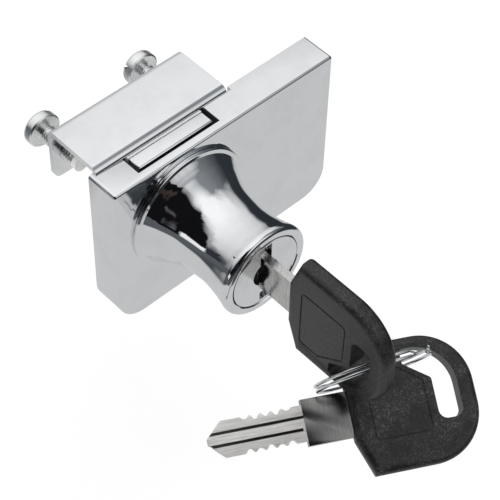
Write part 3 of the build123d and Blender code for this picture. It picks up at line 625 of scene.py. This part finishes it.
def finish_piece(name, shape, materials, body, nodes, sharp_over=SHARP_OVER):
    """Makes the bmesh an object, dresses it and ties it to the frame in the place of its CAD nodes."""
    mesh = bpy.data.meshes.new(name)
    shape.to_mesh(mesh)
    shape.free()
    shade(mesh, sharp_over)
    piece = bpy.data.objects.new(name, mesh)
    bpy.context.scene.collection.objects.link(piece)
    for material in materials:
        mesh.materials.append(bpy.data.materials[material])
    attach(piece, body)
    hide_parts(*nodes)
    return piece


def dress(node, material):
    """Gives a CAD node that stays its own finish."""
    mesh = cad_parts[node].data
    mesh.materials.clear()
    mesh.materials.append(bpy.data.materials[material])


def cut(piece, cutter, operation="DIFFERENCE"):
    """Takes the cutter bmesh out of the piece's mesh, or joins it on, with an exact boolean."""
    mesh = bpy.data.meshes.new("cutter")
    cutter.to_mesh(mesh)
    cutter.free()
    tool = bpy.data.objects.new("cutter", mesh)
    bpy.context.scene.collection.objects.link(tool)
    modifier = piece.modifiers.new("cut", "BOOLEAN")
    modifier.operation = operation
    modifier.solver = "EXACT"
    modifier.object = tool
    depsgraph = bpy.context.evaluated_depsgraph_get()
    result = bpy.data.meshes.new_from_object(piece.evaluated_get(depsgraph))
    shape = bmesh.new()
    shape.from_mesh(result)
    bmesh.ops.remove_doubles(shape, verts=shape.verts, dist=CUT_GAP)
    bmesh.ops.dissolve_degenerate(shape, edges=shape.edges, dist=CUT_GAP)
    shape.to_mesh(result)
    shape.free()
    piece.modifiers.clear()
    old = piece.data
    piece.data = result
    bpy.data.meshes.remove(old)
    bpy.data.objects.remove(tool)
    bpy.data.meshes.remove(mesh)


def box_shape(low, high):
    """A bmesh block between two corners."""
    low = Vector(low)
    high = Vector(high)
    shape = bmesh.new()
    bmesh.ops.create_cube(shape, size=1.0)
    bmesh.ops.scale(shape, vec=high - low, verts=shape.verts)
    bmesh.ops.translate(shape, vec=(low + high) / 2, verts=shape.verts)
    return shape


def turned(profile, centre, steps):
    """A body of revolution about an axis along Y: profile holds pairs of radius and Y."""
    shape = bmesh.new()
    verts = [shape.verts.new((centre.x + radius, y, centre.z)) for radius, y in profile]
    edges = [shape.edges.new(pair) for pair in zip(verts, verts[1:])]
    bmesh.ops.spin(
        shape,
        geom=verts + edges,
        cent=(centre.x, 0, centre.z),
        axis=ALONG_Y,
        angle=2 * pi,
        steps=steps,
        use_merge=True,
        use_duplicate=False,
    )
    bmesh.ops.remove_doubles(shape, verts=shape.verts, dist=TURNED_GAP)
    bmesh.ops.recalc_face_normals(shape, faces=shape.faces)
    return shape


def arc_points(centre, radius, start, end):
    """Points on an arc in a profile, with angles in degrees from the radius axis towards Y."""
    turns = [radians(start + (end - start) * step / ARC_STEPS) for step in range(ARC_STEPS + 1)]
    return [(centre[0] + radius * cos(turn), centre[1] + radius * sin(turn)) for turn in turns]


def between(before, start, end, after, share):
    """Number that lies at a share of the way from start to end on a Catmull-Rom curve."""
    slope = (end - before) * share
    bend = (2 * before - 5 * start + 4 * end - after) * share * share
    twist = (3 * start - before - 3 * end + after) * share**3
    return 0.5 * (2 * start + slope + bend + twist)


def smooth_curve(points, steps):
    """Points of a Catmull-Rom curve through pairs, for a profile that runs on smoothly."""
    ends = [
        tuple(2 * a - b for a, b in zip(points[0], points[1])),
        *points,
        tuple(2 * a - b for a, b in zip(points[-1], points[-2])),
    ]
    curve = []
    for four in zip(ends, ends[1:], ends[2:], ends[3:]):
        for step in range(steps):
            curve.append(tuple(between(*numbers, step / steps) for numbers in zip(*four)))
    curve.append(points[-1])
    return curve


def key_axes(key):
    """Matrix whose columns are a key's face, its length and the way across its blade."""
    along, face = (Vector(way) for way in KEY_WAYS[key])
    along = along.normalized()
    face = (face - along * face.dot(along)).normalized()
    return Matrix((face, along, face.cross(along))).transposed()


class LOCK_OT_finishes(bpy.types.Operator):
    """Make the lock's finishes: plating, brushed steel, brass, rubber and moulded plastic, and the painted
    shade of recesses, key grooves and key shanks
    """

    bl_idname = "lock.finishes"
    bl_label = "Finishes"

    def execute(self, context):
        for name, colour, polish, haze, ripple in PLATED:
            plated_material(name, colour_of(colour), polish, haze, ripple)
        for name, colour, polish, streak, stretch in BRUSHED:
            brushed_material(name, colour_of(colour), polish, streak, stretch)
        nickel = colour_of("nickel")
        # Each shank is the nickel darkened by painted shade, more on the second key; its cross-brushing is
        # real
        for key, shank_shade in SHANK_SHADES.items():
            turn = key_axes(key).to_euler()
            brushed_material(f"{key}_steel", nickel, turn=turn, **KEY_STEEL)
            brushed_material(f"{key}_shank", [one * shank_shade for one in nickel], turn=turn, **KEY_SHANK)
        for name, colour, scuff, grain, polish, height in MOULDED:
            moulded_material(name, colour_of(colour), scuff, grain, polish, height)
        return {"FINISHED"}


class LOCK_OT_case(bpy.types.Operator):
    """Make the plated case, its clamp bracket, the bolt and its slip sheet"""

    bl_idname = "lock.case"
    bl_label = "Case and bolt"

    def execute(self, context):
        edge = sizes().edge
        for node, skins, body, slot in (
            ("case", ["case_plating", "bare_casting"], "lock_case", "case_chrome"),
            ("clamp_bracket", ["bracket_plating"], "lock_case", "bracket_chrome"),
            ("bolt", ["bolt_plating"], "bolt_body", "bolt_chrome"),
        ):
            shape = node_copy(node)
            soften(shape, edge)
            # The case's recesses and the gap round the bolt get painted shade
            if "bare_casting" in skins:
                mark_inside(shape, edge / 2, BOLT_BACK_Y)
            finish_piece(f"{node}_finished", shape, skins, body, [node])
        dress("bolt_guide", "slip_sheet")
        return {"FINISHED"}


def knob_piece():
    """Waisted knob, turned from its profile, with painted shade in its bore."""
    outside = [(radius, FACE_Y - along) for along, radius in KNOB_FORM]
    base_turn = (KNOB_BASE - KNOB_BASE_ROUND, FACE_Y - KNOB_BASE_ROUND)
    rim_turn = (KNOB_RIM[1] - KNOB_RIM_ROUND, FACE_Y - KNOB_RIM[0] + KNOB_RIM_ROUND)
    profile = [
        (KNOB_BORE, FACE_Y),
        (base_turn[0], FACE_Y),
        *arc_points(base_turn, KNOB_BASE_ROUND, 90, KNOB_BASE_END),
        *smooth_curve(outside, KNOB_CURVE_STEPS),
        *arc_points(rim_turn, KNOB_RIM_ROUND, 0, -90),
        (KNOB_MOUTH + KNOB_MOUTH_BEVEL, KNOB_LOW.y),
        (KNOB_MOUTH, KNOB_LOW.y + KNOB_MOUTH_BEVEL),
        (KNOB_MOUTH, FACE_Y - KNOB_MOUTH_FLOOR),
        (KNOB_BORE, FACE_Y - KNOB_MOUTH_FLOOR),
        (KNOB_BORE, FACE_Y),
    ]
    shape = turned(profile, KNOB_AXIS, KNOB_STEPS)
    # The bore and mouth of the knob get painted shade
    for face in shape.faces:
        middle = face.calc_center_median()
        if (middle - KNOB_AXIS).xz.length < KNOB_MOUTH and middle.y > KNOB_LOW.y + KNOB_MOUTH_BEVEL:
            face.material_index = INNER_SHADE
    skins = ["knob_plating", "bare_casting"]
    finish_piece("knob_finished", shape, skins, "lock_case", ["knob"], SHARP_OVER_TURNED)


def plug_piece():
    """Turning plug with a plated face, and painted shade where its keyway and recesses go in."""
    shape = node_copy("plug")
    soften(shape, sizes().fine_edge)
    # Faces deep in the plug get painted shade; the plated front outside the keyway band is then given its
    # plating back
    mark_inside(shape, sizes().edge, PLUG_HIGH.y)
    for side in (-1, 1):
        split(shape, KNOB_AXIS + UP * PLUG_SHADE_BAND * side, UP)
    for face in shape.faces:
        middle = face.calc_center_median()
        if middle.y < PLUG_LOW.y + PLUG_FACE and abs(middle.z - KNOB_AXIS.z) > PLUG_SHADE_BAND:
            face.material_index = OUTER
    skins = ["plug_plating", "bare_casting"]
    finish_piece("plug_finished", shape, skins, "plug_assembly", ["plug"])


class LOCK_OT_knob(bpy.types.Operator):
    """Turn the waisted knob, and dress the cylinder and plug inside it"""

    bl_idname = "lock.knob"
    bl_label = "Knob and cylinder"

    def execute(self, context):
        knob_piece()
        plug_piece()
        dress("cylinder_body", "cylinder_brass")
        for node in ("drive_cam", "cam_screw", "knob_screws", "back_screws"):
            dress(node, "zinc_plating")
        for index in range(1, WAFER_COUNT + 1):
            dress(f"wafer_{index}", "wafer_brass")
            dress(f"wafer_spring_{index}", "spring_wire")
        return {"FINISHED"}


def reach(shape, way):
    """Lowest and highest place of a bmesh along a direction."""
    places = [vert.co.dot(way) for vert in shape.verts]
    return min(places), max(places)


def key_blade(key, body):
    """Steel blade with two milled grooves in each face holding painted shade, and a cross-brushed shank
    darkened with painted shade.
    """
    axes = key_axes(key)
    face, along, across = axes.transposed()
    shape = node_copy(f"{key}_blade")
    soften(shape, sizes().fine_edge)
    tip = reach(shape, along)[0]
    split(shape, along * (tip + BLADE_LENGTH), along)
    low, high = reach(shape, face)
    half = (high - low) / 2
    middle = (low + high) / 2
    centre = sum(reach(shape, across)) / 2
    skins = [f"{key}_steel", f"{key}_shank", "key_groove"]
    piece = finish_piece(f"{key}_blade_finished", shape, skins, body, [f"{key}_blade"])
    for side in (-1, 1):
        for offset in (-GROOVE_OFFSET, GROOVE_OFFSET):
            groove = box_shape(
                (half - GROOVE_DEPTH, -GROOVE_END, offset - GROOVE_WIDTH / 2),
                (half + GROOVE_DEPTH, BLADE_LENGTH - GROOVE_END, offset + GROOVE_WIDTH / 2),
            )
            bmesh.ops.scale(groove, vec=(side, 1, 1), verts=groove.verts)
            bmesh.ops.recalc_face_normals(groove, faces=groove.faces)
            place = Matrix.Translation(face * middle + along * tip + across * centre)
            bmesh.ops.transform(groove, matrix=place @ axes.to_4x4(), verts=groove.verts)
            cut(piece, groove)
    for polygon in piece.data.polygons:
        depth = half - abs(polygon.center.dot(face) - middle)
        beside = abs(abs(polygon.center.dot(across) - centre) - GROOVE_OFFSET)
        behind = polygon.center.dot(along) - tip
        # The shank gets its brushed finish darkened by painted shade
        if behind > BLADE_LENGTH:
            polygon.material_index = SHANK
        # Groove faces get painted shade
        elif GROOVE_SHALLOW < depth < GROOVE_DEEP and beside < GROOVE_BESIDE:
            polygon.material_index = GROOVE
        else:
            polygon.material_index = STEEL
    shade(piece.data)


class LOCK_OT_keys(bpy.types.Operator):
    """Make the two keys with their moulded bows, and the split ring that joins them"""

    bl_idname = "lock.keys"
    bl_label = "Keys and ring"

    def execute(self, context):
        for key, body in KEY_BODIES.items():
            key_blade(key, body)
            bow = node_copy(f"{key}_head")
            soften(bow, sizes().edge, ROUND_OVER_BOW)
            finish_piece(f"{key}_bow_finished", bow, ["bow_plastic"], body, [f"{key}_head"])
        ring = node_copy("key_ring")
        finish_piece("key_ring_finished", ring, ["ring_wire"], "split_ring", ["key_ring"])
        return {"FINISHED"}


def thread_ridge(centre, root, start, turns):
    """Helical ridge of a thread, sunk a little way into its root."""
    pitch = sizes().thread_pitch
    sunk = root - sizes().thread_depth * THREAD_SUNK_SHARE
    crest = pitch * THREAD_CREST_SHARE
    section = [
        (sunk, start - pitch / 2),
        (CLAMP_THREAD, start - crest),
        (CLAMP_THREAD, start + crest),
        (sunk, start + pitch / 2),
    ]
    ridge = bmesh.new()
    verts = [ridge.verts.new((centre.x + radius, y, centre.z)) for radius, y in section]
    edges = [ridge.edges.new(pair) for pair in zip(verts, verts[1:] + verts[:1])]
    bmesh.ops.spin(
        ridge,
        geom=verts + edges,
        cent=centre,
        axis=ALONG_Y,
        dvec=ALONG_Y * (pitch / THREAD_STEPS),
        angle=2 * pi * turns,
        steps=THREAD_STEPS * turns,
        use_merge=False,
        use_duplicate=False,
    )
    bmesh.ops.holes_fill(ridge, edges=[edge for edge in ridge.edges if edge.is_boundary], sides=0)
    bmesh.ops.recalc_face_normals(ridge, faces=ridge.faces)
    return ridge


def clamp_screw(name, body, slot_turn):
    """Threaded clamp screw with a rounded, slotted head, along Y from its pip to its head."""
    low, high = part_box(name)
    centre = Vector(((low.x + high.x) / 2, 0, (low.z + high.z) / 2))
    pitch = sizes().thread_pitch
    depth = sizes().thread_depth
    root = CLAMP_THREAD - depth
    head_front = high.y - CLAMP_HEAD_HEIGHT
    head_turn = (CLAMP_HEAD - CLAMP_HEAD_ROUND, high.y - CLAMP_HEAD_ROUND)
    shank_front = low.y + CLAMP_PIP_LENGTH
    profile = [
        (0, low.y),
        (CLAMP_PIP, low.y),
        (CLAMP_PIP, shank_front),
        (root - depth, shank_front),
        (root, shank_front + depth),
        (root, head_front),
        (CLAMP_HEAD - CLAMP_HEAD_EDGE, head_front),
        (CLAMP_HEAD, head_front + CLAMP_HEAD_EDGE),
        *arc_points(head_turn, CLAMP_HEAD_ROUND, 0, 90),
        (0, high.y),
    ]
    shape = turned(profile, centre, CLAMP_STEPS)
    screw = finish_piece(
        f"{name}_finished", shape, ["zinc_plating"], body, [name], SHARP_OVER_TURNED
    )
    thread_start = shank_front + pitch
    turns = int((head_front - thread_start) / pitch) - 1
    cut(screw, thread_ridge(centre, root, thread_start, turns), "UNION")
    slot = box_shape(
        (-CLAMP_SLOT / 2, high.y - CLAMP_SLOT_DEPTH, -CLAMP_SLOT_REACH),
        (CLAMP_SLOT / 2, high.y + CLAMP_SLOT_DEPTH, CLAMP_SLOT_REACH),
    )
    turn = Matrix.Rotation(radians(slot_turn), 3, "Y")
    bmesh.ops.rotate(slot, cent=(0, 0, 0), matrix=turn, verts=slot.verts)
    bmesh.ops.translate(slot, vec=centre, verts=slot.verts)
    cut(screw, slot)
    shade(screw.data, SHARP_OVER_TURNED)


class LOCK_OT_clamp_screws(bpy.types.Operator):
    """Make the two threaded clamp screws and dress their soft tips"""

    bl_idname = "lock.clamp_screws"
    bl_label = "Clamp screws"

    def execute(self, context):
        for side, slot_turn in CLAMP_SLOT_TURNS.items():
            clamp_screw(f"clamp_screw_{side}", f"screw_{side}", slot_turn)
            dress(f"tip_pad_{side}", "tip_plastic")
        return {"FINISHED"}


class LOCK_OT_pads(bpy.types.Operator):
    """Dress the soft pads that the glass doors rest on"""

    bl_idname = "lock.pads"
    bl_label = "Pads"

    def execute(self, context):
        for node in ("glass_pad", "door_pad"):
            shape = node_copy(node)
            soften(shape, PAD_EDGE, ROUND_OVER_PAD)
            finish_piece(f"{node}_finished", shape, ["pad_foam"], "lock_case", [node])
        return {"FINISHED"}


def studio_room(tree):
    """Colour of the dark room and its softboxes in each direction, with uneven edges."""
    place = tree.nodes.new("ShaderNodeTexCoord").outputs["Generated"]
    separate = tree.nodes.new("ShaderNodeSeparateXYZ")
    tree.links.new(place, separate.inputs["Vector"])
    flat = vector_node(tree, "MULTIPLY", place, (1, 1, 0)).outputs["Vector"]
    level = vector_node(tree, "NORMALIZE", flat).outputs["Vector"]
    wobble = math_node(tree, "SUBTRACT", noise_node(tree, place, *ROOM_NOISE), 0.5)
    height = math_node(tree, "MULTIPLY_ADD", wobble, CARD_UNEVEN, separate.outputs["Z"])
    seen = mix_colour(tree, remap(tree, height, *ROOM_HEIGHTS), STUDIO_DARK, STUDIO_WALL)
    for azimuth, spread, edge, low, high, low_colour, high_colour in STUDIO_CARDS:
        slope = sin(radians(spread))
        limit = cos(radians(spread))
        soft = radians(edge)
        middle = (cos(radians(azimuth)), sin(radians(azimuth)), 0)
        facing = vector_node(tree, "DOT_PRODUCT", level, middle).outputs["Value"]
        facing = math_node(tree, "MULTIPLY_ADD", wobble, CARD_RAGGED * slope, facing)
        mask = remap(tree, facing, limit - soft * slope, limit + soft * slope)
        above = remap(tree, height, low - soft / 2, low + soft / 2)
        below = remap(tree, height, high + soft / 2, high - soft / 2)
        mask = math_node(tree, "MULTIPLY", math_node(tree, "MULTIPLY", mask, above), below)
        colour = mix_colour(tree, remap(tree, height, low, min(high, 1.0)), low_colour, high_colour)
        seen = mix_colour(tree, mask, seen, colour)
    return mix_colour(tree, remap(tree, separate.outputs["Z"], *WHITE_ABOVE), seen, STUDIO_BRIGHT)


def studio_world():
    """White to the camera and even to matt surfaces; polished metal sees softboxes and a dark room."""
    world = bpy.data.worlds.new("studio")
    bpy.context.scene.world = world
    world.use_nodes = True
    tree = world.node_tree
    tree.nodes.clear()
    path = tree.nodes.new("ShaderNodeLightPath")
    even = mix_colour(tree, path.outputs["Is Camera Ray"], STUDIO_EVEN, WHITE)
    seen = mix_colour(tree, path.outputs["Is Glossy Ray"], even, studio_room(tree))
    background = tree.nodes.new("ShaderNodeBackground")
    tree.links.new(seen, background.inputs["Color"])
    output = tree.nodes.new("ShaderNodeOutputWorld")
    tree.links.new(background.outputs["Background"], output.inputs["Surface"])


def floor_seen(tree, place):
    """What polished metal sees of the floor: pale sheets near the lock, and a dark floor past them."""
    far = 1.0
    for middle, half in SHEETS:
        sheet = tree.nodes.new("ShaderNodeMapping")
        tree.links.new(place, sheet.inputs["Vector"])
        sheet.inputs["Location"].default_value = (*(-at / size for at, size in zip(middle, half)), 0)
        sheet.inputs["Scale"].default_value = (*(1 / size for size in half), 0)
        distance = vector_node(tree, "LENGTH", sheet.outputs["Vector"]).outputs["Value"]
        far = math_node(tree, "MULTIPLY", remap(tree, distance, *SHEET_SOFT), far)
    separate = tree.nodes.new("ShaderNodeSeparateXYZ")
    tree.links.new(place, separate.inputs["Vector"])
    side = remap(tree, separate.outputs["X"], 0.0, -SLATE_REACH)
    return mix_colour(tree, far, SHEET_SEEN, mix_colour(tree, side, STUDIO_DARK, STUDIO_SLATE))


def mix_shader(tree, factor, first, second):
    """A blend of two shaders."""
    node = tree.nodes.new("ShaderNodeMixShader")
    for socket, value in zip(node.inputs, (factor, first, second)):
        tree.links.new(value, socket)
    return node.outputs["Shader"]


def floor_material():
    """White paper that keeps a faint shadow; polished metal sees it pale near the lock and dark far off."""
    material = bpy.data.materials.new("floor_paper")
    material.use_nodes = True
    tree = material.node_tree
    tree.nodes.clear()
    place = tree.nodes.new("ShaderNodeTexCoord").outputs["Object"]
    path = tree.nodes.new("ShaderNodeLightPath")
    matt = tree.nodes.new("ShaderNodeBsdfDiffuse")
    paper = mix_colour(tree, noise_node(tree, place, *PAPER_NOISE), *PAPER_TONES)
    tree.links.new(paper, matt.inputs["Color"])
    glow = tree.nodes.new("ShaderNodeEmission")
    seen = mix_colour(tree, path.outputs["Is Camera Ray"], floor_seen(tree, place), WHITE)
    tree.links.new(seen, glow.inputs["Color"])
    distance = vector_node(tree, "LENGTH", place).outputs["Value"]
    bright = remap(tree, distance, *SHADOW_REACH, 1 - SHADOW_DEPTH, 1.0)
    glossy = path.outputs["Is Glossy Ray"]
    lit = math_node(tree, "MULTIPLY_ADD", path.outputs["Is Camera Ray"], bright, glossy)
    over = mix_shader(tree, lit, matt.outputs["BSDF"], glow.outputs["Emission"])
    clear = tree.nodes.new("ShaderNodeBsdfTransparent").outputs["BSDF"]
    behind = tree.nodes.new("ShaderNodeNewGeometry").outputs["Backfacing"]
    output = tree.nodes.new("ShaderNodeOutputMaterial")
    tree.links.new(mix_shader(tree, behind, over, clear), output.inputs["Surface"])
    return material


def area_lamp(name, place, target, size, power):
    """A square lamp that looks at its target and that polished metal doesn't see."""
    lamp = bpy.data.lights.new(name, "AREA")
    lamp.shape = "SQUARE"
    lamp.size = size
    lamp.energy = power
    holder = bpy.data.objects.new(name, lamp)
    bpy.context.scene.collection.objects.link(holder)
    holder.visible_glossy = False
    holder.location = place
    holder.rotation_euler = (Vector(target) - Vector(place)).to_track_quat("-Z", "Y").to_euler()


def photo_camera():
    """The camera, at the photograph's place and with its lens."""
    camera = bpy.data.cameras.new("camera")
    camera.lens = CAMERA_LENS
    camera.sensor_width = CAMERA_SENSOR
    camera.clip_start = CAMERA_NEAR
    holder = bpy.data.objects.new("camera", camera)
    bpy.context.scene.collection.objects.link(holder)
    ahead = Vector(CAMERA_AHEAD).normalized()
    right = Vector(CAMERA_RIGHT)
    right = (right - ahead * right.dot(ahead)).normalized()
    turn = Matrix((right, right.cross(ahead), -ahead)).transposed()
    holder.matrix_world = Matrix.Translation(CAMERA_PLACE) @ turn.to_4x4()
    return holder


class LOCK_OT_stage(bpy.types.Operator):
    """Set up the floor, the soft studio light and the camera"""

    bl_idname = "lock.stage"
    bl_label = "Stage"

    def execute(self, context):
        scene = context.scene
        scene.view_settings.view_transform = "Standard"
        studio_world()
        shape = bmesh.new()
        bmesh.ops.create_grid(shape, x_segments=1, y_segments=1, size=FLOOR_SIZE / 2)
        bmesh.ops.translate(shape, vec=(0, 0, CAD_BOX[0][2] - FLOOR_DROP), verts=shape.verts)
        mesh = bpy.data.meshes.new("floor")
        shape.to_mesh(mesh)
        shape.free()
        mesh.materials.append(floor_material())
        floor = bpy.data.objects.new("floor", mesh)
        scene.collection.objects.link(floor)
        for name, place, size, power in LAMPS:
            area_lamp(name, place, CAMERA_TARGET, size, power)
        scene.camera = photo_camera()
        return {"FINISHED"}


class LOCK_PT_panel(bpy.types.Panel):
    """The lock's pieces, sizes and colours in the 3D view's sidebar"""

    bl_idname = "LOCK_PT_panel"
    bl_label = "Cabinet lock"
    bl_space_type = "VIEW_3D"
    bl_region_type = "UI"
    bl_category = "Lock"

    def draw(self, context):
        for operator in OPERATORS:
            self.layout.operator(operator.bl_idname)
        for group in (context.scene.lock_sizes, context.scene.lock_colours):
            for name in group.__annotations__:
                self.layout.prop(group, name)


OPERATORS = (
    LOCK_OT_finishes,
    LOCK_OT_case,
    LOCK_OT_knob,
    LOCK_OT_keys,
    LOCK_OT_clamp_screws,
    LOCK_OT_pads,
    LOCK_OT_stage,
)
CLASSES = (LockSizes, LockColours, *OPERATORS, LOCK_PT_panel)


def register():
    for one in CLASSES:
        bpy.utils.register_class(one)
    bpy.types.Scene.lock_sizes = bpy.props.PointerProperty(type=LockSizes)
    bpy.types.Scene.lock_colours = bpy.props.PointerProperty(type=LockColours)


def unregister():
    del bpy.types.Scene.lock_colours
    del bpy.types.Scene.lock_sizes
    for one in reversed(CLASSES):
        bpy.utils.unregister_class(one)


def main():
    register()
    for operator in OPERATORS:
        getattr(bpy.ops.lock, operator.bl_idname.removeprefix("lock."))()


if __name__ == "__main__":
    main()
